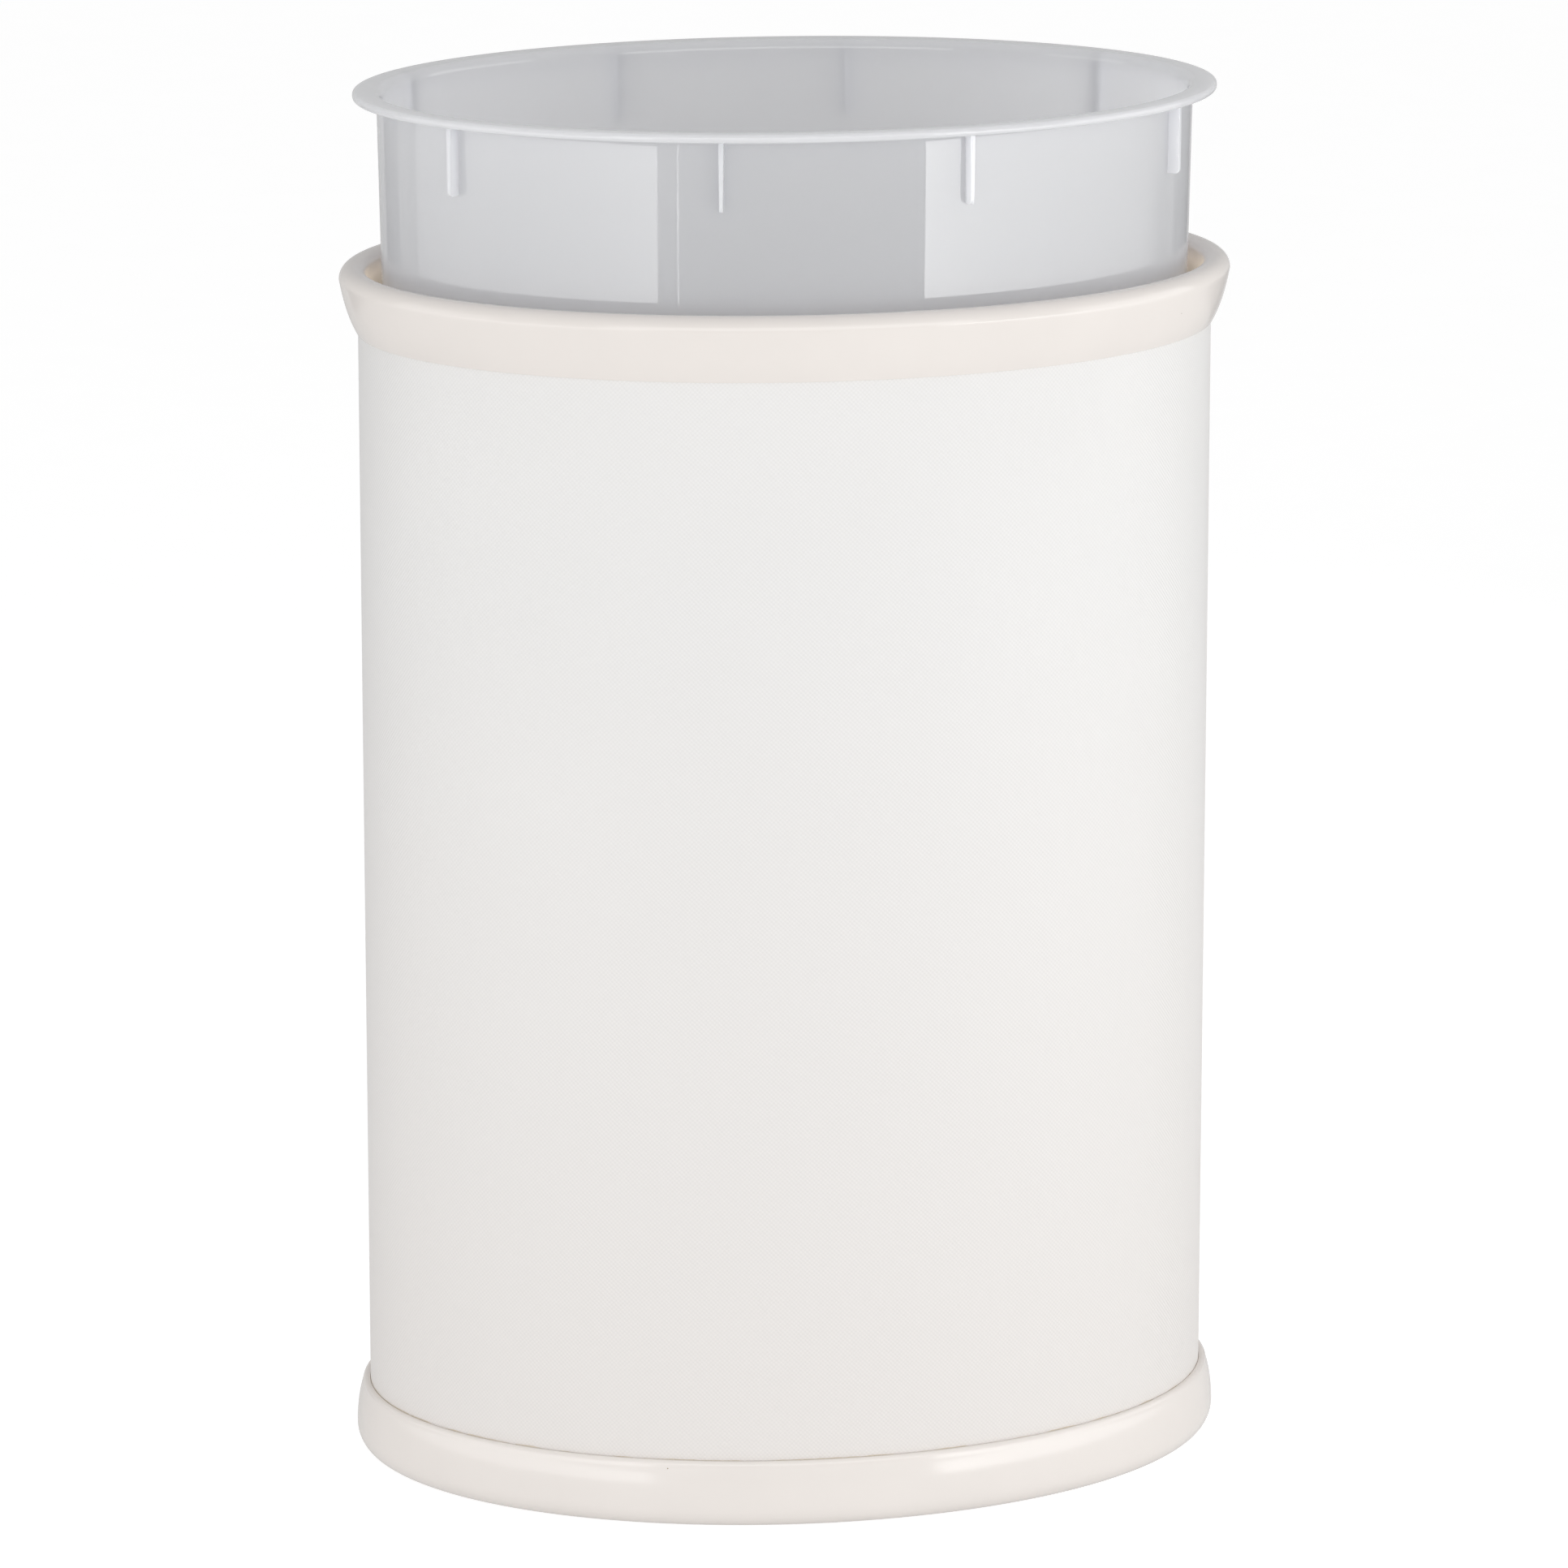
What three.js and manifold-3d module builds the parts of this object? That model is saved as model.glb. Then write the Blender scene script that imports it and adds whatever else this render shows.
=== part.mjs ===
// An oval wastebasket: a vinyl-wrapped shell with moulded trims, and a lift-out plastic liner
// that stands part of the way out of the shell.
// Millimetres, +Z up. The long side lies along X and the front faces -Y. The origin is on the
// ground, under the middle of the oval.
import * as THREE from 'three';
import { mergeVertices } from 'three/addons/utils/BufferGeometryUtils.js';
import Module from 'manifold-3d';

// ---- Driving dimensions ----------------------------------------------------------------
// The oval is the vinyl's outer face. Every other face runs beside it, and "out" is how far
// outside it that face runs, so it is negative inside the shell.
const HALF_WIDTH = 137;
const HALF_DEPTH = 103;

const SHELL_HEIGHT = 389;        // crest of the top trim
const TOP_TRIM_HEIGHT = 21;
const BASE_TRIM_HEIGHT = 21.5;
const TOP_TRIM_OUT = 5.9;        // how far the top trim stands out of the vinyl
const BASE_TRIM_OUT = 4.4;

const VINYL = 0.5;               // wall, from the outside in
const BOARD = 1;
const SPLICE = 0.8;                // the strip over the board's joint, and the trim's skirt
const FLOOR_BOARD = 3;
const BOND = 0.2;                // glue line between two sheets
const CLEARANCE = 0.3;           // between parts that are pushed together
const SEAM_GAP = 0.6;            // between the two edges of a rolled sheet

const LINER_HEIGHT = 371;
const LINER_WALL = 1.6;
const LINER_WALL_OUT = -6.6;     // outer face of the wall, just under the rim
const LINER_DRAFT = 0.0186;      // how much the wall leans in, per millimetre down
const LINER_RIM = 2.6;           // thickness of the rim
const LINER_RIM_OUT = 1;
const LINER_RAISED = 52.7;       // how far the liner stands above its seat

const FIN_ANGLES = [30, 73, 107, 150, 210, 253, 287, 330];
const FIN_HEIGHT = 22;
const FIN_OUT = -3;              // outer edge of the fins, which slides inside the trim
const FIN_TOP_WIDTH = 2.1;
const FIN_TIP_WIDTH = 1.4;

const SIDES = 72;                // facets round the oval

// ---- Places that follow from them ------------------------------------------------------
const BACK = Math.PI / 2;        // the angle of the middle of the back
const STEP = (2 * Math.PI) / SIDES;

const BOARD_OUT = -VINYL - BOND;             // outer face of the board wall
const BOARD_IN = BOARD_OUT - BOARD;          // inner face of the board wall
const LINING_OUT = BOARD_IN - BOND;          // outer face of what lies against it: the
const LINING_IN = LINING_OUT - SPLICE;       // joint's strip, and the top trim's skirt

const TOP_TRIM_LOW = SHELL_HEIGHT - TOP_TRIM_HEIGHT;
const TOP_TRIM_WEB = 2.2;                    // thickness of the trim over the wall's edge
const WALL_TOP = SHELL_HEIGHT - TOP_TRIM_WEB - CLEARANCE;
const BASE_LEDGE_TOP = 4;
const WALL_BOTTOM = BASE_LEDGE_TOP + CLEARANCE;
const FLOOR_TOP = WALL_BOTTOM + FLOOR_BOARD;

const RIM_UNDER = SHELL_HEIGHT + CLEARANCE + LINER_RAISED;
const RIM_TOP = RIM_UNDER + LINER_RIM;
const LINER_BOTTOM = RIM_TOP - LINER_HEIGHT;

// ---- Shape helpers ---------------------------------------------------------------------
const MIDDLE = null;             // in an outline, the oval's centre in place of a distance out

function ovalPoint(angle, out, z) {
  if (out === MIDDLE) return [0, 0, z];
  const normal = new THREE.Vector2(Math.cos(angle) / HALF_WIDTH, Math.sin(angle) / HALF_DEPTH);
  normal.normalize();
  return [
    HALF_WIDTH * Math.cos(angle) + out * normal.x,
    HALF_DEPTH * Math.sin(angle) + out * normal.y,
    z,
  ];
}

// Points on a quarter of an ellipse about (out, z), from one angle to the other in degrees.
function arc(out, z, radiusOut, radiusZ, from, to, steps = 4) {
  return Array.from({ length: steps + 1 }, (_, step) => {
    const angle = THREE.MathUtils.degToRad(from + ((to - from) * step) / steps);
    return [out + radiusOut * Math.cos(angle), z + radiusZ * Math.sin(angle)];
  });
}

function curve(start, control, end, steps) {
  const bend = new THREE.QuadraticBezierCurve(
    new THREE.Vector2(...start),
    new THREE.Vector2(...control),
    new THREE.Vector2(...end),
  );
  return bend.getPoints(steps).map((point) => point.toArray());
}

function rectangle(inside, outside, low, high) {
  return [[inside, low], [outside, low], [outside, high], [inside, high]];
}

// A closed geometry from corner positions and triangles, without doubled corners and without
// the triangles that shrink to nothing where an outline meets the middle.
function closedGeometry(positions, triangles) {
  const loose = new THREE.BufferGeometry();
  loose.setAttribute('position', new THREE.Float32BufferAttribute(positions.flat(), 3));
  loose.setIndex(triangles.flat());
  const geometry = mergeVertices(loose, 1e-5);
  const merged = geometry.index.array;
  const kept = [];
  for (let i = 0; i < merged.length; i += 3) {
    const [a, b, c] = merged.slice(i, i + 3);
    if (a !== b && b !== c && c !== a) kept.push(a, b, c);
  }
  geometry.setIndex(kept);
  return geometry;
}

// Turns a closed outline of [out, z] points about the oval. The outline runs anticlockwise,
// with out to the right and z up. A part turn gets flat ends.
function ovalSweep(outline, from = 0, to = 2 * Math.PI) {
  const whole = to - from > 2 * Math.PI - 1e-6;
  const steps = Math.round((to - from) / STEP);
  const stations = whole ? steps : steps + 1;
  const count = outline.length;
  const positions = [];
  const triangles = [];
  for (let station = 0; station < stations; station += 1) {
    const angle = from + ((to - from) * station) / steps;
    outline.forEach(([out, z]) => positions.push(ovalPoint(angle, out, z)));
  }
  for (let step = 0; step < steps; step += 1) {
    const here = step * count;
    const next = ((step + 1) % stations) * count;
    for (let i = 0; i < count; i += 1) {
      const j = (i + 1) % count;
      triangles.push([here + i, next + i, next + j], [here + i, next + j, here + j]);
    }
  }
  if (!whole) {
    const corners = outline.map(([out, z]) => new THREE.Vector2(out, z));
    const last = steps * count;
    THREE.ShapeUtils.triangulateShape(corners, []).forEach(([a, b, c]) => {
      triangles.push([a, b, c], [last + c, last + b, last + a]);
    });
  }
  return closedGeometry(positions, triangles);
}

// A sheet rolled round the oval, whose two edges meet at the middle of the back.
function rolledSheet(inside, outside) {
  const halfGap = SEAM_GAP / 2 / HALF_WIDTH;
  const outline = rectangle(inside, outside, WALL_BOTTOM, WALL_TOP);
  return ovalSweep(outline, BACK + halfGap, BACK + 2 * Math.PI - halfGap);
}

// ---- Joining solids --------------------------------------------------------------------
const manifold = await Module();
manifold.setup();

function toSolid(geometry) {
  const bare = geometry.clone();
  bare.deleteAttribute('normal');
  bare.deleteAttribute('uv');
  const merged = mergeVertices(bare, 1e-5);
  return new manifold.Manifold(new manifold.Mesh({
    numProp: 3,
    vertProperties: new Float32Array(merged.attributes.position.array),
    triVerts: new Uint32Array(merged.index.array),
  }));
}

function toGeometry(solid) {
  const mesh = solid.getMesh();
  const geometry = new THREE.BufferGeometry();
  geometry.setAttribute('position', new THREE.BufferAttribute(mesh.vertProperties, 3));
  geometry.setIndex(new THREE.BufferAttribute(mesh.triVerts, 1));
  return geometry;
}

// ---- The shell -------------------------------------------------------------------------
// A channel over the wall's top edge: a skin that flares outwards as it rises, a rounded crest
// and a skirt down the wall's inner face. It is hollow behind the skin.
function topTrim() {
  const skin = 1.8;
  const edge = [0.45, TOP_TRIM_LOW];
  const widest = [TOP_TRIM_OUT, SHELL_HEIGHT - 4.2];
  const crestOut = 1.5;
  const crestDrop = 3;
  const skirtLow = TOP_TRIM_LOW + 3;
  const ceiling = SHELL_HEIGHT - TOP_TRIM_WEB;
  return ovalSweep([
    [BOND, TOP_TRIM_LOW],
    ...curve(edge, [4, TOP_TRIM_LOW + 6], widest, 7),
    ...arc(crestOut, widest[1], TOP_TRIM_OUT - crestOut, SHELL_HEIGHT - widest[1], 0, 90, 6).slice(1),
    ...arc(crestOut, SHELL_HEIGHT - crestDrop, crestOut - LINING_IN, crestDrop, 90, 180, 5).slice(1),
    [LINING_IN, skirtLow],
    [LINING_OUT, skirtLow],
    [LINING_OUT, ceiling],
    [TOP_TRIM_OUT - skin, ceiling],
    [TOP_TRIM_OUT - skin - 0.4, ceiling - 4.5],
    [BOND, TOP_TRIM_LOW + 3.5],
  ]);
}

// A standing ring, a ledge under the wall and the floor board, and a bulging skin that rises to
// a rounded lip just off the vinyl, so that the wall sits in a channel.
function baseTrim() {
  const ringIn = -7;
  const ringOut = -1;
  const ledgeIn = -12;
  const ledgeUnder = 1.5;
  const bulgeZ = 6.5;
  const lip = { out: 1.3, z: 19.9, width: 1.2 };
  return ovalSweep([
    [ledgeIn, ledgeUnder],
    [ringIn, ledgeUnder],
    [ringIn, 0],
    ...arc(ringOut, bulgeZ, BASE_TRIM_OUT - ringOut, bulgeZ, -90, 0, 5),
    ...curve([BASE_TRIM_OUT, bulgeZ], [BASE_TRIM_OUT, 14], [lip.out + lip.width, lip.z], 4).slice(1),
    ...arc(lip.out, lip.z, lip.width, BASE_TRIM_HEIGHT - lip.z, 0, 90, 3).slice(1),
    [CLEARANCE, BASE_TRIM_HEIGHT - 0.4],
    [CLEARANCE, BASE_LEDGE_TOP],
    [ledgeIn, BASE_LEDGE_TOP],
  ]);
}

function vinylCover() {
  return rolledSheet(-VINYL, 0);
}

function boardWall() {
  return rolledSheet(BOARD_IN, BOARD_OUT);
}

// A strip glued over the board's joint, inside the shell at the back.
function spliceStrip() {
  const outline = rectangle(LINING_IN, LINING_OUT, FLOOR_TOP + 1, TOP_TRIM_LOW);
  return ovalSweep(outline, BACK - 2 * STEP, BACK + 2 * STEP);
}

function floorBoard() {
  const edge = BOARD_IN - CLEARANCE;
  return ovalSweep([
    [MIDDLE, WALL_BOTTOM],
    [edge, WALL_BOTTOM],
    [edge, FLOOR_TOP],
    [MIDDLE, FLOOR_TOP],
  ]);
}

// ---- The liner -------------------------------------------------------------------------
// One moulding: a drafted cup with rounded bottom edges and a flat rim that overhangs it.
function linerCup() {
  const bottomRadius = 8;
  const rimFillet = 1.5;
  const rimEdge = 1;
  const shoulder = 2.8;
  const floorTop = LINER_BOTTOM + LINER_WALL + 0.4;
  const wallOut = (z) => LINER_WALL_OUT - LINER_DRAFT * (RIM_UNDER - z);
  const cornerZ = LINER_BOTTOM + bottomRadius;
  const cornerOut = wallOut(cornerZ) - bottomRadius;
  const innerRadius = bottomRadius - LINER_WALL;
  const filletOut = wallOut(RIM_UNDER) + rimFillet;
  const rimInside = LINER_RIM_OUT - rimEdge;
  const shoulderOut = wallOut(RIM_TOP - shoulder) - LINER_WALL + shoulder;
  return ovalSweep([
    [MIDDLE, LINER_BOTTOM],
    ...arc(cornerOut, cornerZ, bottomRadius, bottomRadius, -90, 0, 4),
    ...arc(filletOut, RIM_UNDER - rimFillet, rimFillet, rimFillet, 180, 90, 2),
    ...arc(rimInside, RIM_UNDER + rimEdge, rimEdge, rimEdge, -90, 0, 2),
    ...arc(rimInside, RIM_TOP - rimEdge, rimEdge, rimEdge, 0, 90, 2),
    ...arc(shoulderOut, RIM_TOP - shoulder, shoulder, shoulder, 90, 180, 3),
    ...arc(cornerOut, floorTop + innerRadius, innerRadius, innerRadius, 0, -90, 4),
    [MIDDLE, floorTop],
  ]);
}

// A tapered fin under the rim. Its outer edge centres the liner in the shell's mouth.
function linerFin(degrees) {
  const root = LINER_WALL_OUT - LINER_WALL / 2;
  const length = FIN_OUT - root;
  const round = 1.5;
  const outline = new THREE.Shape();
  outline.moveTo(0, 0);
  outline.lineTo(0, -FIN_HEIGHT);
  outline.lineTo(length - round, -FIN_HEIGHT);
  outline.absarc(length - round, round - FIN_HEIGHT, round, -Math.PI / 2, 0, false);
  outline.lineTo(length, 0);
  outline.closePath();
  const fin = new THREE.ExtrudeGeometry(outline, { depth: 1, bevelEnabled: false, curveSegments: 3 });
  const corners = fin.attributes.position;
  for (let i = 0; i < corners.count; i += 1) {
    const width = THREE.MathUtils.lerp(FIN_TOP_WIDTH, FIN_TIP_WIDTH, -corners.getY(i) / FIN_HEIGHT);
    corners.setZ(i, (corners.getZ(i) - 0.5) * width);
  }
  const angle = THREE.MathUtils.degToRad(degrees);
  const facing = Math.atan2(Math.sin(angle) / HALF_DEPTH, Math.cos(angle) / HALF_WIDTH);
  fin.rotateX(Math.PI / 2);
  fin.rotateZ(facing);
  fin.translate(...ovalPoint(angle, root, RIM_UNDER + CLEARANCE));
  return fin;
}

function liner() {
  const cup = toSolid(linerCup());
  return toGeometry(FIN_ANGLES.reduce((solid, degrees) => solid.add(toSolid(linerFin(degrees))), cup));
}

// ---- Assembly --------------------------------------------------------------------------
function part(name, geometry, color, roughness) {
  const material = new THREE.MeshStandardMaterial({ color, roughness, metalness: 0 });
  const mesh = new THREE.Mesh(geometry, material);
  mesh.name = name;
  return mesh;
}

const shell = new THREE.Group();
shell.add(
  part('top_trim', topTrim(), 0xe9e3da, 0.35),
  part('vinyl_cover', vinylCover(), 0xe6e6e4, 0.55),
  part('board_wall', boardWall(), 0xb9a88c, 0.9),
  part('splice_strip', spliceStrip(), 0xa8946f, 0.9),
  part('floor_board', floorBoard(), 0xb9a88c, 0.9),
  part('base_trim', baseTrim(), 0xe9e3da, 0.35),
);

const wastebasket = new THREE.Group();
wastebasket.add(shell, part('liner', liner(), 0xc9cad0, 0.25));

export default wastebasket;
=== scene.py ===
"""The looks of an oval wastebasket: a vinyl-wrapped shell with moulded trims, and a translucent
liner that stands part of the way out of it. The object's lengths are in millimetres and become
metres where a mesh is made. The studio's are in metres. "Out" is how far a face runs outside
the vinyl's face."""

import math

import bmesh
import bpy
import numpy as np
from mathutils import Matrix, Vector


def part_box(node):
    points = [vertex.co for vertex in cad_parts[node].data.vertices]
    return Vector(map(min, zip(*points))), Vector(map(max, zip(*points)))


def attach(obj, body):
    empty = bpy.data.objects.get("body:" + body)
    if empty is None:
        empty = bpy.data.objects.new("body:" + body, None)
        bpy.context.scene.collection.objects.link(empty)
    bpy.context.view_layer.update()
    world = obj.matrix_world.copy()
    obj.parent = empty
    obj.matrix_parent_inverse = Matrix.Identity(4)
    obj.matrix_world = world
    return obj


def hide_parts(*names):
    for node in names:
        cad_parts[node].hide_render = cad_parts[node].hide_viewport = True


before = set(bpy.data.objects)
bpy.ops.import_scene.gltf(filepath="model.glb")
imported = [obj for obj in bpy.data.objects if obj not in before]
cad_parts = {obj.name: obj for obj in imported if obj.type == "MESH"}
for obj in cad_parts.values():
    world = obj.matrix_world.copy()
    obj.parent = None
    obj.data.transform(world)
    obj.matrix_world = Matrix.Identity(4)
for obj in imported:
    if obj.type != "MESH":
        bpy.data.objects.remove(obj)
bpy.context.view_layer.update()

MM = 0.001

# ---- Sizes taken from the frame ---------------------------------------------------------


def box_mm(node):
    """The two corners of a CAD node's box."""
    low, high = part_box(node)
    return low / MM, high / MM


VINYL_LOW, VINYL_HIGH = box_mm("vinyl_cover")
BOARD_HIGH = box_mm("board_wall")[1]
TOP_TRIM_LOW, TOP_TRIM_HIGH = box_mm("top_trim")
BASE_TRIM_HIGH = box_mm("base_trim")[1]
SPLICE_LOW, SPLICE_HIGH = box_mm("splice_strip")
FLOOR_BOARD_LOW, FLOOR_BOARD_HIGH = box_mm("floor_board")
LINER_LOW, LINER_HIGH = box_mm("liner")

HALF_WIDTH = VINYL_HIGH.x
HALF_DEPTH = VINYL_HIGH.y
CREST = TOP_TRIM_HIGH.z
TRIM_EDGE = TOP_TRIM_LOW.z
TOP_TRIM_OUT = TOP_TRIM_HIGH.x - HALF_WIDTH
BASE_TRIM_OUT = BASE_TRIM_HIGH.x - HALF_WIDTH
LIP = BASE_TRIM_HIGH.z
BOARD_OUT = BOARD_HIGH.x - HALF_WIDTH
LINER_OUT = LINER_HIGH.x - HALF_WIDTH
RIM_TOP = LINER_HIGH.z
LINER_BOTTOM = LINER_LOW.z

# ---- Sizes of the finer shapes ----------------------------------------------------------

SIDES = 360
VINYL_SIDES = 720
VINYL = 0.5
BOARD = 1.0
BOND = 0.2
LINING = 0.8
LINING_OUT = BOARD_OUT - BOARD - BOND
LINING_IN = LINING_OUT - LINING
HALF_SEAM = 0.3
CLEARANCE = 0.3
TRIM_WEB = 2.2

LINER_WALL = 1.6
LINER_WALL_OUT = -6.6
LINER_DRAFT = 0.0186
LINER_RIM = 2.6
FIN_ANGLES = (30, 73, 107, 150, 210, 253, 287, 330)
FIN_HEIGHT = 22.0
FIN_OUT = -3.0
FIN_TOP_WIDTH = 2.1
FIN_TIP_WIDTH = 1.4
FIN_TAPER = 0.25

BACK = math.pi / 2

# ---- Outlines ---------------------------------------------------------------------------


def arc(out, z, radius_out, radius_z, start, end, steps=8):
    """Points on an ellipse about (out, z), from one angle to another in degrees."""
    angles = np.radians(np.linspace(start, end, steps + 1))
    return [(out + radius_out * math.cos(a), z + radius_z * math.sin(a)) for a in angles]


def bend(start, control, end, steps=10):
    """Points on a quadratic curve, without its first point."""
    points = []
    for t in np.linspace(0, 1, steps + 1)[1:]:
        near, middle, far = (1 - t) ** 2, 2 * t * (1 - t), t * t
        points.append(tuple(near * s + middle * c + far * e for s, c, e in zip(start, control, end)))
    return points


def rounded_strip(inside, outside, low, high, radius):
    """A sheet's cross-section with rounded corners, anticlockwise."""
    return (
        arc(outside - radius, low + radius, radius, radius, -90, 0, 3)
        + arc(outside - radius, high - radius, radius, radius, 0, 90, 3)
        + arc(inside + radius, high - radius, radius, radius, 90, 180, 3)
        + arc(inside + radius, low + radius, radius, radius, 180, 270, 3)
    )


# ---- Meshes that follow the oval --------------------------------------------------------


def oval_points(angles, out, z):
    """Points in millimetres that run `out` outside the vinyl's face at these angles."""
    x, y = HALF_WIDTH * np.cos(angles), HALF_DEPTH * np.sin(angles)
    normal_x, normal_y = np.cos(angles) / HALF_WIDTH, np.sin(angles) / HALF_DEPTH
    length = np.hypot(normal_x, normal_y)
    return np.stack([x + out * normal_x / length, y + out * normal_y / length, np.full_like(x, z)], -1)


def new_object(name, vertices, faces, loop_uvs=None, sharp_degrees=35):
    """An object from points in millimetres, with a map of its corners if there is one."""
    mesh = bpy.data.meshes.new(name)
    mesh.from_pydata((np.asarray(vertices) * MM).tolist(), [], faces)
    if loop_uvs is not None:
        layer = mesh.uv_layers.new(name="metres")
        layer.data.foreach_set("uv", (np.asarray(loop_uvs, float) * MM).ravel())
    mesh.validate()
    piece = bpy.data.objects.new(name, mesh)
    bpy.context.scene.collection.objects.link(piece)
    shade(piece, sharp_degrees)
    return piece


def shade(piece, sharp_degrees=35):
    """Smooth shading, kept sharp along edges that fold more than this."""
    work = bmesh.new()
    work.from_mesh(piece.data)
    limit = math.radians(sharp_degrees)
    for face in work.faces:
        face.smooth = True
    for edge in work.edges:
        edge.smooth = len(edge.link_faces) == 2 and edge.calc_face_angle(0) < limit
    work.to_mesh(piece.data)
    work.free()


def sweep(name, outline, start=0.0, turn=math.tau, sides=SIDES, sharp_degrees=35):
    """Turns a closed outline of (out, z) points, anticlockwise, about the oval. A part turn
    gets flat ends. Its map runs along the oval and along the outline, in metres."""
    whole = turn > math.tau - 1e-6
    steps = max(2, round(sides * turn / math.tau))
    angles = start + np.linspace(0, turn, steps + 1)
    rim = oval_points(angles, 0, 0)
    run = np.concatenate([[0], np.cumsum(np.linalg.norm(np.diff(rim, axis=0), axis=1))])
    closed = np.array(outline + outline[:1])
    along = np.concatenate([[0], np.cumsum(np.linalg.norm(np.diff(closed, axis=0), axis=1))])
    used = angles[:-1] if whole else angles
    rings = [oval_points(used, out, z) for out, z in outline]
    vertices = np.stack(rings, 1).reshape(-1, 3)
    count = len(outline)
    faces, uvs = [], []
    for step in range(steps):
        here, after = step * count, ((step + 1) % len(used)) * count
        for i in range(count):
            j = (i + 1) % count
            faces.append((here + i, after + i, after + j, here + j))
            uvs += [
                (run[step], along[i]),
                (run[step + 1], along[i]),
                (run[step + 1], along[i + 1]),
                (run[step], along[i + 1]),
            ]
    if not whole:
        last = steps * count
        faces.append(tuple(range(count)))
        faces.append(tuple(last + i for i in reversed(range(count))))
        uvs += [tuple(point) for point in outline] + [tuple(point) for point in reversed(outline)]
    return new_object(name, vertices, faces, uvs, sharp_degrees)


def filled(name, outline, sides=SIDES, sharp_degrees=35):
    """Turns an outline that starts and ends at the middle about the oval: a cup or a plate.
    The two end points give the height of the middle, below and above."""
    angles = np.linspace(0, math.tau, sides, endpoint=False)
    body = outline[1:-1]
    rings = [oval_points(angles, out, z) for out, z in body]
    vertices = np.concatenate(rings + [[(0, 0, outline[0][1])], [(0, 0, outline[-1][1])]])
    under, over = len(body) * sides, len(body) * sides + 1
    run = np.linspace(0, 1, sides + 1) * 2 * math.pi * math.sqrt(HALF_WIDTH * HALF_DEPTH)
    along = np.concatenate([[0], np.cumsum(np.linalg.norm(np.diff(np.array(body), axis=0), axis=1))])
    faces, uvs = [], []
    for i in range(sides):
        j = (i + 1) % sides
        faces.append((under, j, i))
        uvs += [tuple(vertices[k][:2]) for k in (under, j, i)]
        for ring in range(len(body) - 1):
            low, high = ring * sides, (ring + 1) * sides
            faces.append((low + i, low + j, high + j, high + i))
            uvs += [
                (run[i], along[ring]),
                (run[i + 1], along[ring]),
                (run[i + 1], along[ring + 1]),
                (run[i], along[ring + 1]),
            ]
        top = (len(body) - 1) * sides
        faces.append((top + i, top + j, over))
        uvs += [tuple(vertices[k][:2]) for k in (top + i, top + j, over)]
    return new_object(name, vertices, faces, uvs, sharp_degrees)


# ---- Materials --------------------------------------------------------------------------


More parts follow.
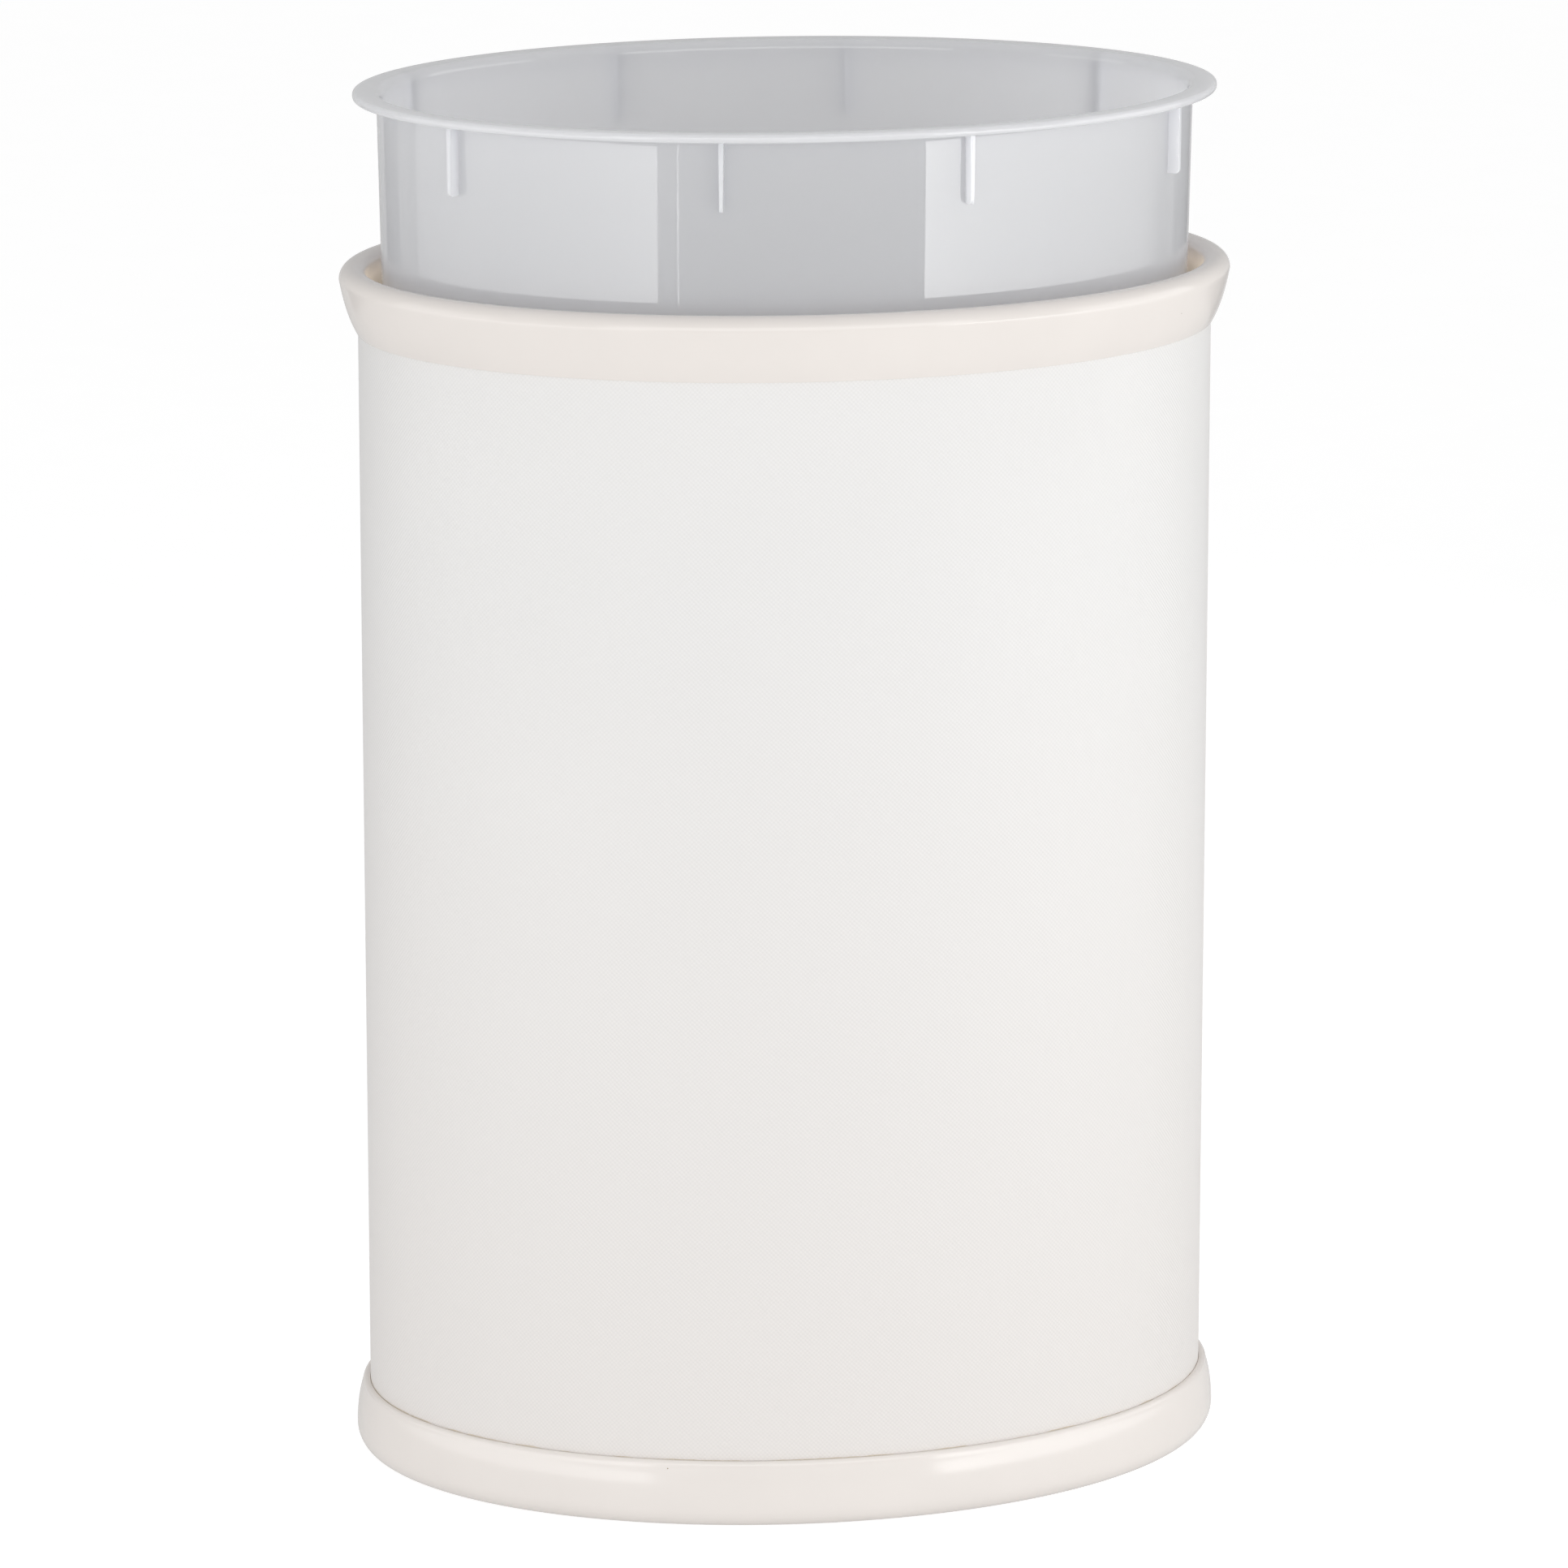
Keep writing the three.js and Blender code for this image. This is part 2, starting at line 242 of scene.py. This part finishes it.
class Shader:
    """A material's node tree, with short calls for the nodes that the finishes use."""

    def __init__(self, name):
        self.material = bpy.data.materials.new(name)
        self.material.use_nodes = True
        self.tree = self.material.node_tree
        self.surface = self.tree.nodes["Principled BSDF"]

    def node(self, kind, **settings):
        made = self.tree.nodes.new(kind)
        for name, value in settings.items():
            setattr(made, name, value)
        return made

    def feed(self, socket, value):
        if isinstance(value, bpy.types.NodeSocket):
            self.tree.links.new(value, socket)
        else:
            socket.default_value = value

    def set(self, **values):
        """Plain values on the surface, named with underscores for spaces."""
        for name, value in values.items():
            self.surface.inputs[name.replace("_", " ")].default_value = value

    def math(self, operation, *values):
        made = self.node("ShaderNodeMath", operation=operation)
        for socket, value in zip(made.inputs, values):
            self.feed(socket, value)
        return made.outputs[0]

    def place(self):
        """The point in the object's own metres."""
        return self.node("ShaderNodeTexCoord").outputs["Object"]

    def along(self):
        """The map in metres along the oval and along the outline."""
        split = self.node("ShaderNodeSeparateXYZ")
        self.feed(split.inputs[0], self.node("ShaderNodeUVMap", uv_map="metres").outputs[0])
        return split.outputs[0], split.outputs[1]

    def noise(self, size_mm, detail=2.0, roughness=0.5, stretch=(1, 1, 1)):
        """Noise from 0 to 1 with features about this many millimetres across."""
        made = self.node("ShaderNodeTexNoise")
        place = self.node("ShaderNodeMapping")
        self.feed(place.inputs["Vector"], self.place())
        place.inputs["Scale"].default_value = stretch
        self.feed(made.inputs["Vector"], place.outputs[0])
        made.inputs["Scale"].default_value = 1 / (size_mm * MM)
        made.inputs["Detail"].default_value = detail
        made.inputs["Roughness"].default_value = roughness
        return made.outputs["Fac"]

    def specks(self, spacing_mm, radius):
        """1 inside sparse round specks, 0 elsewhere. The radius is a share of the spacing."""
        made = self.node("ShaderNodeTexVoronoi", feature="F1")
        self.feed(made.inputs["Vector"], self.place())
        made.inputs["Scale"].default_value = 1 / (spacing_mm * MM)
        return self.math("LESS_THAN", made.outputs["Distance"], radius)

    def above_floor(self):
        """How high the point is above the floor, in metres."""
        split = self.node("ShaderNodeSeparateXYZ")
        self.feed(split.inputs[0], self.place())
        return split.outputs[2]

    def between(self, factor, low, high, start=0.0, end=1.0):
        """The factor from start to end spread over a range."""
        made = self.node("ShaderNodeMapRange")
        self.feed(made.inputs["Value"], factor)
        self.feed(made.inputs["From Min"], start)
        self.feed(made.inputs["From Max"], end)
        made.inputs["To Min"].default_value = low
        made.inputs["To Max"].default_value = high
        return made.outputs[0]

    def blend(self, factor, first, second):
        """A mix of two colours."""
        made = self.node("ShaderNodeMix", data_type="RGBA")
        self.feed(made.inputs[0], factor)
        self.feed(made.inputs[6], first)
        self.feed(made.inputs[7], second)
        return made.outputs[2]

    def bump(self, height, depth_mm, normal=None):
        """Relief of this depth in millimetres, on top of an earlier relief."""
        made = self.node("ShaderNodeBump")
        made.inputs["Strength"].default_value = 1.0
        made.inputs["Distance"].default_value = depth_mm * MM
        self.feed(made.inputs["Height"], height)
        if normal is not None:
            self.feed(made.inputs["Normal"], normal)
        return made.outputs[0]

    def wear(self, *inputs):
        """Links sockets of the surface to patterns."""
        for name, value in inputs:
            self.feed(self.surface.inputs[name], value)


def rgb(red, green, blue):
    """A colour given as it looks on a screen, 0 to 255, as linear light."""
    channels = [c / 255 for c in (red, green, blue)]
    linear = [c / 12.92 if c <= 0.04045 else ((c + 0.055) / 1.055) ** 2.4 for c in channels]
    return (*linear, 1.0)


def trim_plastic(name, lift=0, painted_glow_from=None):
    """Cream moulded plastic: satin gloss, faint mottling, the odd dark speck. The lift makes it
    lighter: painted light. From a given length along the outline it gives off a little painted
    light, which stands in for the light that comes through thin plastic into the shaded well."""
    shader = Shader(name)
    shader.set(IOR=1.5)
    if painted_glow_from is not None:
        # Painted light: warm emission on the skirt, which brightens the shaded well.
        shader.surface.inputs["Emission Color"].default_value = (1.0, 0.85, 0.67, 1.0)
        run, full_painted_glow = shader.along()[1], 0.21
        start, end = (painted_glow_from - 2) * MM, (painted_glow_from + 3) * MM
        painted_glow = shader.between(run, 0.0, full_painted_glow, start, end)
        shader.wear(("Emission Strength", painted_glow))
    mottle = shader.noise(28, 3)
    # The lift paints light: it makes this copy of the cream lighter.
    dark = rgb(231 + lift, 225 + lift, 220 + lift)
    light = rgb(236 + lift, 230 + lift, 225 + lift)
    cream = shader.blend(mottle, dark, light)
    speck = shader.specks(17, 0.012)
    colour = shader.blend(speck, cream, rgb(150, 132, 112))
    rough = shader.between(shader.noise(6, 4), 0.11, 0.16)
    skin = shader.bump(shader.noise(2.2, 2), 0.008)
    ripple = shader.bump(shader.noise(45, 1), 0.08, skin)
    shader.wear(("Base Color", colour), ("Roughness", rough), ("Normal", ripple))
    return shader.material


def embossed_vinyl():
    """Off-white vinyl sheet, embossed with two sets of fine lines that cross; the valleys get painted
    shade. Painted warm light makes it a little warmer lower down, and a thin uneven tan line runs
    along the base trim."""
    pitch = 1.0 * MM
    painted_warmth_start, painted_warmth_end = 300 * MM, 20 * MM
    shader = Shader("embossed_vinyl")
    shader.set(IOR=1.48)
    across, up = shader.along()
    drift = shader.math("MULTIPLY", shader.noise(9, 2), 0.6 * MM)
    lines = []
    for slant in (1, -1):
        run = shader.math("ADD", across, shader.math("MULTIPLY", up, slant))
        run = shader.math("ADD", run, drift)
        phase = shader.math("MULTIPLY", run, math.tau / (pitch * math.sqrt(2)))
        lines.append(shader.math("SINE", phase))
    weave = shader.math("MULTIPLY", shader.math("ADD", *lines), 0.25)
    depth = shader.between(shader.noise(14, 2), 0.55, 1.0)
    emboss = shader.math("ADD", shader.math("MULTIPLY", weave, depth), 0.5)
    cloud = shader.noise(60, 3)
    white = shader.blend(cloud, rgb(233, 232, 231), rgb(237, 236, 235))
    # Painted light: the vinyl is painted warmer lower down.
    lower = shader.between(shader.above_floor(), 0.0, 1.0, painted_warmth_start, painted_warmth_end)
    white = shader.blend(lower, white, rgb(240, 236, 233))
    # Painted shade: the emboss's valleys are painted darker.
    colour = shader.blend(shader.between(emboss, 0.26, 0.0), white, rgb(205, 203, 199))
    # A thin uneven tan line on the vinyl, just above the base trim's lip.
    tan_line_top = shader.between(shader.noise(9, 3), (LIP - 0.1) * MM, (LIP + 0.4) * MM, 0.4, 0.75)
    tan_line = shader.math("LESS_THAN", shader.above_floor(), tan_line_top)
    colour = shader.blend(tan_line, colour, rgb(222, 212, 194))
    rough = shader.between(shader.noise(5, 3), 0.42, 0.54)
    relief = shader.bump(emboss, 0.07)
    wave = shader.bump(shader.noise(70, 1), 0.25, relief)
    shader.wear(("Base Color", colour), ("Roughness", rough), ("Normal", wave))
    return shader.material


def liner_plastic():
    """Natural polypropylene: milky, translucent and glossy, with faint ripples from the mould."""
    shader = Shader("liner_plastic")
    shader.set(IOR=1.6, Subsurface_Weight=0.85, Subsurface_Scale=0.03, Subsurface_Anisotropy=0.3)
    shader.surface.inputs["Subsurface Radius"].default_value = (1.0, 1.0, 1.05)
    cloud = shader.noise(50, 3, stretch=(1, 1, 0.4))
    colour = shader.blend(cloud, rgb(224, 226, 233), rgb(228, 229, 236))
    rough = shader.between(shader.noise(8, 4), 0.012, 0.03)
    ripple = shader.bump(shader.noise(40, 1, stretch=(1, 1, 0.25)), 0.03)
    skin = shader.bump(shader.noise(1.6, 2), 0.0025, ripple)
    shader.wear(("Base Color", colour), ("Roughness", rough), ("Normal", skin))
    return shader.material


def fibreboard(name, dark, light):
    """Pressed brown board: matt, with short flattened fibres."""
    shader = Shader(name)
    shader.set(IOR=1.45)
    fibres = shader.noise(1.6, 5, 0.7, stretch=(1, 1, 3))
    cloud = shader.noise(35, 3)
    colour = shader.blend(fibres, dark, light)
    colour = shader.blend(shader.between(cloud, 0.0, 0.35), colour, light)
    rough = shader.between(fibres, 0.75, 0.95)
    relief = shader.bump(fibres, 0.08)
    shader.wear(("Base Color", colour), ("Roughness", rough), ("Normal", relief))
    return shader.material


# The base trim's copy of the cream, made lighter by painted light.
TRIM_PLASTIC = trim_plastic("trim_plastic", lift=3)
EMBOSSED_VINYL = embossed_vinyl()
LINER_PLASTIC = liner_plastic()
FIBREBOARD = fibreboard("fibreboard", rgb(168, 148, 120), rgb(190, 171, 143))
KRAFT = fibreboard("kraft_strip", rgb(158, 132, 98), rgb(176, 150, 116))


def finish_piece(piece, material, body, slot, *nodes):
    """Gives a piece its material and body, and hides the CAD nodes that it takes the place of.
    The slot is not used.
    """
    piece.data.materials.append(material)
    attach(piece, body)
    if nodes:
        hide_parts(*nodes)
    return piece


# ---- The shell --------------------------------------------------------------------------


def top_trim():
    """A channel over the wall's edge: a flaring skin, a rounded crest and a skirt inside."""
    skin = 1.8
    widest = (TOP_TRIM_OUT, CREST - 4.2)
    crest_out, crest_drop = 1.5, 3.0
    skirt_low = TRIM_EDGE + 3
    ceiling = CREST - TRIM_WEB
    edge = 0.45
    skirt_top = (LINING_IN, CREST - 5)
    outline = (
        [(BOND, TRIM_EDGE + 0.1), (BOND + 0.08, TRIM_EDGE), (edge, TRIM_EDGE)]
        + bend((edge, TRIM_EDGE), (4.0, TRIM_EDGE + 6), widest, 20)
        + arc(crest_out, widest[1], TOP_TRIM_OUT - crest_out, CREST - widest[1], 0, 90, 14)[1:]
        + arc(crest_out, CREST - crest_drop, crest_out - LINING_IN, crest_drop, 90, 180, 14)[1:]
        + [skirt_top, (LINING_IN, skirt_low + 0.2), (LINING_IN + 0.2, skirt_low)]
        + [(LINING_OUT, skirt_low), (LINING_OUT, ceiling), (TOP_TRIM_OUT - skin, ceiling)]
        + [(TOP_TRIM_OUT - skin - 0.4, ceiling - 4.5), (BOND, TRIM_EDGE + 3.5)]
    )
    to_the_skirt = outline[: outline.index(skirt_top)]
    length = sum(math.dist(a, b) for a, b in zip(to_the_skirt, to_the_skirt[1:]))
    # This copy of the cream gives off painted light on the skirt, in the well.
    material = trim_plastic("trim_plastic_thin_painted_glow", painted_glow_from=length)
    piece = sweep("top_trim", outline, sharp_degrees=50)
    return finish_piece(piece, material, "shell", "trim_plastic", "top_trim")


def base_trim():
    """A standing ring, a ledge under the floor board, and a bulging skin up to a rounded lip."""
    ring_in, ring_out, ledge_in = -7.0, -1.0, -12.0
    ledge_under, ledge_top = 1.5, FLOOR_BOARD_LOW.z - CLEARANCE
    bulge = 6.5
    lip_out, lip_z, lip_width = 1.3, LIP - 1.6, 1.2
    channel = 0.1
    outline = (
        [(ledge_in, ledge_under), (ring_in, ledge_under), (ring_in, 0)]
        + arc(ring_out, bulge, BASE_TRIM_OUT - ring_out, bulge, -90, 0, 14)
        + bend((BASE_TRIM_OUT, bulge), (BASE_TRIM_OUT, 14), (lip_out + lip_width, lip_z), 14)
        + arc(lip_out, lip_z, lip_width, LIP - lip_z, 0, 90, 6)[1:]
        + [(channel + 0.12, LIP), (channel, LIP - 0.12), (channel, ledge_top), (ledge_in, ledge_top)]
    )
    piece = sweep("base_trim", outline, sharp_degrees=50)
    return finish_piece(piece, TRIM_PLASTIC, "shell", "trim_plastic", "base_trim")


def rolled_sheet(name, inside, outside, radius, sides=SIDES):
    """A sheet rolled round the oval, whose two edges meet at the middle of the back."""
    gap = HALF_SEAM / HALF_WIDTH
    outline = rounded_strip(inside, outside, VINYL_LOW.z, VINYL_HIGH.z, radius)
    return sweep(name, outline, BACK + gap, math.tau - 2 * gap, sides)


def vinyl_cover():
    piece = rolled_sheet("vinyl_cover", -VINYL, 0, 0.15, VINYL_SIDES)
    return finish_piece(piece, EMBOSSED_VINYL, "shell", "embossed_vinyl", "vinyl_cover")


def vinyl_lap():
    """The vinyl's glued edge, which laps over the seam at the back."""
    width, thickness, gap = 16.0, 0.4, 0.02
    half = width / 2 / HALF_WIDTH
    outline = rounded_strip(gap, gap + thickness, LIP + 2 * CLEARANCE, TRIM_EDGE - CLEARANCE, 0.15)
    piece = sweep("vinyl_lap", outline, BACK - half, 2 * half, VINYL_SIDES)
    return finish_piece(piece, EMBOSSED_VINYL, "shell", "embossed_vinyl")


def board_wall():
    piece = rolled_sheet("board_wall", BOARD_OUT - BOARD, BOARD_OUT, 0.2)
    return finish_piece(piece, FIBREBOARD, "shell", "fibreboard", "board_wall")


def splice_strip():
    """A strip over the board's joint, inside the shell."""
    half = math.radians(10)
    outline = rounded_strip(LINING_IN, LINING_OUT, SPLICE_LOW.z, SPLICE_HIGH.z, 0.2)
    piece = sweep("splice_strip", outline, BACK - half, 2 * half)
    return finish_piece(piece, KRAFT, "shell", "kraft_strip", "splice_strip")


def floor_board():
    """An oval board with slightly rounded edges."""
    edge, round_edge = FLOOR_BOARD_HIGH.x - HALF_WIDTH, 0.4
    low, high = FLOOR_BOARD_LOW.z, FLOOR_BOARD_HIGH.z
    outline = (
        [(0, low), (edge - 20, low)]
        + arc(edge - round_edge, low + round_edge, round_edge, round_edge, -90, 0, 3)
        + arc(edge - round_edge, high - round_edge, round_edge, round_edge, 0, 90, 3)
        + [(edge - 20, high), (0, high)]
    )
    piece = filled("floor_board", outline)
    return finish_piece(piece, FIBREBOARD, "shell", "fibreboard", "floor_board")


# ---- The liner --------------------------------------------------------------------------


def wall_out(z):
    """How far out the liner's outer face is at a height, with the draft of the mould."""
    return LINER_WALL_OUT - LINER_DRAFT * (RIM_TOP - LINER_RIM - z)


def liner_cup():
    """A drafted cup with rounded bottom edges and a flat rim that overhangs it. Its wall has
    extra rings next to the rim and the bottom, which keep the shading of the wall straight."""
    corner, fillet, edge, shoulder, dish = 8.0, 1.5, 1.1, 3.0, 0.6
    rim_under = RIM_TOP - LINER_RIM
    corner_z = LINER_BOTTOM + corner
    corner_out = wall_out(corner_z) - corner
    floor_top = LINER_BOTTOM + LINER_WALL + 0.4
    inner = corner - LINER_WALL
    edge_in = LINER_OUT - edge
    fillet_out = wall_out(rim_under) + fillet
    shoulder_out = wall_out(RIM_TOP - shoulder) - LINER_WALL + shoulder
    even = np.linspace(corner_z + 15, rim_under - 15, 12)
    levels = [corner_z + 1, *even, rim_under - 5, rim_under - 2.5]
    outline = (
        [(0, LINER_BOTTOM + dish), (corner_out - 30, LINER_BOTTOM + dish)]
        + [(corner_out - 8, LINER_BOTTOM + 0.5), (corner_out - 4, LINER_BOTTOM)]
        + arc(corner_out, corner_z, corner, corner, -90, 0, 10)
        + [(wall_out(z), z) for z in levels]
        + arc(fillet_out, rim_under - fillet, fillet, fillet, 180, 90, 6)
        + arc(edge_in, rim_under + edge, edge, edge, -90, 0, 6)
        + arc(edge_in, RIM_TOP - edge, edge, edge, 0, 90, 6)
        + arc(shoulder_out, RIM_TOP - shoulder, shoulder, shoulder, 90, 180, 10)
        + [(wall_out(z) - LINER_WALL, z) for z in reversed(levels)]
        + arc(corner_out, floor_top + inner, inner, inner, 0, -90, 10)
        + [(corner_out - 30, floor_top), (0, floor_top)]
    )
    return filled("liner", outline, sharp_degrees=40)


def liner_fin(degrees):
    """One tapered fin with a rounded tip, standing out of the wall under the rim."""
    root = LINER_WALL_OUT - LINER_WALL / 2
    reach = FIN_OUT - root
    round_tip = 1.5
    into_rim = 0.8
    side = [(0, into_rim), (0, -FIN_HEIGHT)]
    side += arc(reach - round_tip, round_tip - FIN_HEIGHT, round_tip, round_tip, -90, 0, 6)
    side += [(reach, into_rim)]
    count = len(side)
    vertices = []
    for sign in (-0.5, 0.5):
        for out, down in side:
            share = min(1, max(0, -down / FIN_HEIGHT))
            width = FIN_TOP_WIDTH + (FIN_TIP_WIDTH - FIN_TOP_WIDTH) * share
            narrow = 1 - FIN_TAPER * out / reach
            vertices.append((out, sign * width * narrow, down))
    faces = [tuple(reversed(range(count))), tuple(range(count, 2 * count))]
    faces += [(i, (i + 1) % count, count + (i + 1) % count, count + i) for i in range(count)]
    fin = new_object("fin", vertices, faces)
    angle = math.radians(degrees)
    facing = math.atan2(math.sin(angle) / HALF_DEPTH, math.cos(angle) / HALF_WIDTH)
    spot = oval_points(np.array([angle]), root, RIM_TOP - LINER_RIM)[0] * MM
    fin.data.transform(Matrix.Translation(Vector(spot)) @ Matrix.Rotation(facing, 4, "Z"))
    return fin


def union(piece, others):
    """Joins other solids onto a piece and removes them."""
    for other in others:
        joint = piece.modifiers.new("join", "BOOLEAN")
        joint.operation = "UNION"
        joint.solver = "EXACT"
        joint.object = other
    depsgraph = bpy.context.evaluated_depsgraph_get()
    joined = bpy.data.meshes.new_from_object(piece.evaluated_get(depsgraph))
    piece.modifiers.clear()
    piece.data = joined
    for other in others:
        bpy.data.objects.remove(other)


def liner():
    """The cup and its fins, joined as one moulding."""
    cup = liner_cup()
    union(cup, [liner_fin(degrees) for degrees in FIN_ANGLES])
    shade(cup, 30)
    return finish_piece(cup, LINER_PLASTIC, "liner", "liner_plastic", "liner")


for make in (top_trim, base_trim, vinyl_cover, vinyl_lap, board_wall, splice_strip, floor_board, liner):
    make()

# ---- The studio -------------------------------------------------------------------------

SKY = 0.53
SKY_SEEN = 1.05
FLOOR_GLOW = 0.3
FLOOR_GLOW_SEEN = 0.72
FLOOR_SIZE = 20

PANEL_DISTANCE = 1.3
SLIT_DISTANCE = 1.29
FLAG_DISTANCE = 1.25
PANEL_TOP = 0.30
HIGH_TOP = 1.0
FLAG_TOP = 0.25

CAMERA_AZIMUTH = -11.24
CAMERA_PLACE_AZIMUTH = -11.256
CAMERA_PITCH = 13.465
CAMERA_DISTANCE = 2.594
CAMERA_HEIGHT = 0.8376
CAMERA_LENS = 189.54


def floor_white():
    """A pale, matt floor that glows a little, and more to the camera, so that it stays white."""
    shader = Shader("studio_floor")
    shader.set(Roughness=0.9, IOR=1.3)
    shader.surface.inputs["Emission Color"].default_value = (1, 1, 1, 1)
    seen = shader.node("ShaderNodeLightPath").outputs["Is Camera Ray"]
    grain = shader.noise(40, 3)
    shader.wear(
        ("Base Color", shader.blend(grain, rgb(182, 182, 182), rgb(186, 186, 186))),
        ("Emission Strength", shader.between(seen, FLOOR_GLOW, FLOOR_GLOW_SEEN)),
    )
    return shader.material


def flag_grey():
    """Grey felt on the studio's cards."""
    shader = Shader("flag_grey")
    shader.set(Roughness=0.9, IOR=1.2)
    grain = shader.noise(3, 4)
    shader.wear(("Base Color", shader.blend(grain, rgb(158, 158, 160), rgb(168, 168, 170))))
    return shader.material


FLAG_GREY = flag_grey()


def around(azimuth, distance, height):
    """A place round the object. Azimuth 0 is in front, on -Y, and grows towards +X."""
    side = math.radians(azimuth)
    return (distance * math.sin(side), -distance * math.cos(side), height)


def studio_camera():
    data = bpy.data.cameras.new("camera")
    data.sensor_width = 36
    data.lens = CAMERA_LENS
    data.clip_end = 60
    camera = bpy.data.objects.new("camera", data)
    camera.location = around(CAMERA_PLACE_AZIMUTH, CAMERA_DISTANCE, CAMERA_HEIGHT)
    camera.rotation_euler = (math.radians(90 - CAMERA_PITCH), 0, math.radians(CAMERA_AZIMUTH))
    bpy.context.scene.collection.objects.link(camera)
    bpy.context.scene.camera = camera


def panel(name, near, far, low, high, near_radiance, far_radiance, distance=PANEL_DISTANCE):
    """An upright light panel between two azimuths and two heights, out of the camera's sight. Its
    radiance runs evenly from near to far."""
    middle = (near + far) / 2
    half = math.radians(abs(far - near) / 2)
    data = bpy.data.lights.new(name, "AREA")
    data.shape = "RECTANGLE"
    data.size = 2 * distance * math.tan(half)
    data.size_y = high - low
    data.energy = 4 * data.size * data.size_y  # so that the strength below is the radiance
    data.use_nodes = True
    nodes, links = data.node_tree.nodes, data.node_tree.links
    split = nodes.new("ShaderNodeSeparateXYZ")
    spread = nodes.new("ShaderNodeMapRange")
    ends = (near_radiance, far_radiance) if far > near else (far_radiance, near_radiance)
    spread.inputs["To Min"].default_value, spread.inputs["To Max"].default_value = ends
    links.new(nodes.new("ShaderNodeNewGeometry").outputs["Parametric"], split.inputs[0])
    links.new(split.outputs[0], spread.inputs["Value"])
    links.new(spread.outputs[0], nodes["Emission"].inputs["Strength"])
    light = bpy.data.objects.new(name, data)
    light.location = around(middle, distance, (low + high) / 2)
    light.rotation_euler = (math.radians(90), 0, math.radians(middle))
    light.visible_camera = False
    bpy.context.scene.collection.objects.link(light)


def flag(name, near, far):
    """An upright grey card on the floor between two azimuths, out of the camera's sight, that
    the glossy surfaces mirror as a dark strip."""
    edges = ((near, 0), (far, 0), (far, FLAG_TOP), (near, FLAG_TOP))
    corners = [around(azimuth, FLAG_DISTANCE, height) for azimuth, height in edges]
    mesh = bpy.data.meshes.new(name)
    mesh.from_pydata(corners, [], [(0, 1, 2, 3)])
    mesh.materials.append(FLAG_GREY)
    card = bpy.data.objects.new(name, mesh)
    card.visible_camera = False
    bpy.context.scene.collection.objects.link(card)


def studio_floor():
    mesh = bpy.data.meshes.new("floor")
    corners = [(x * FLOOR_SIZE, y * FLOOR_SIZE, 0) for x, y in ((-1, -1), (1, -1), (1, 1), (-1, 1))]
    mesh.from_pydata(corners, [], [(0, 1, 2, 3)])
    floor = bpy.data.objects.new("floor", mesh)
    mesh.materials.append(floor_white())
    bpy.context.scene.collection.objects.link(floor)


def studio_world():
    """Even soft light from all round. The camera sees it as white."""
    world = bpy.data.worlds.new("studio")
    bpy.context.scene.world = world
    world.use_nodes = True
    nodes, links = world.node_tree.nodes, world.node_tree.links
    strength = nodes.new("ShaderNodeMapRange")
    strength.inputs["To Min"].default_value = SKY
    strength.inputs["To Max"].default_value = SKY_SEEN
    links.new(nodes.new("ShaderNodeLightPath").outputs["Is Camera Ray"], strength.inputs["Value"])
    links.new(strength.outputs[0], nodes["Background"].inputs["Strength"])
    nodes["Background"].inputs["Color"].default_value = (1, 1, 1, 1)


studio_camera()
studio_floor()
studio_world()
panel("panel_left", -30, -120, 0.0, PANEL_TOP, 2.1, 0.3)
panel("panel_right", 28, 110, 0.0, PANEL_TOP, 3.1, 0.0)
panel("panel_left_high", -70, -110, PANEL_TOP, HIGH_TOP, 0.65, 0.65)
panel("panel_right_high", 60, 105, PANEL_TOP, HIGH_TOP, 0.9, 0.9)
panel("panel_front", -40, 36, 0.35, HIGH_TOP, 1.2, 1.2)
panel("slit_left", -25.15, -25.45, 0.0, PANEL_TOP, 2.4, 2.4, SLIT_DISTANCE)
flag("flag_left", -135, -155)
flag("flag_right", 121, 147)
bpy.context.scene.view_settings.view_transform = "Standard"
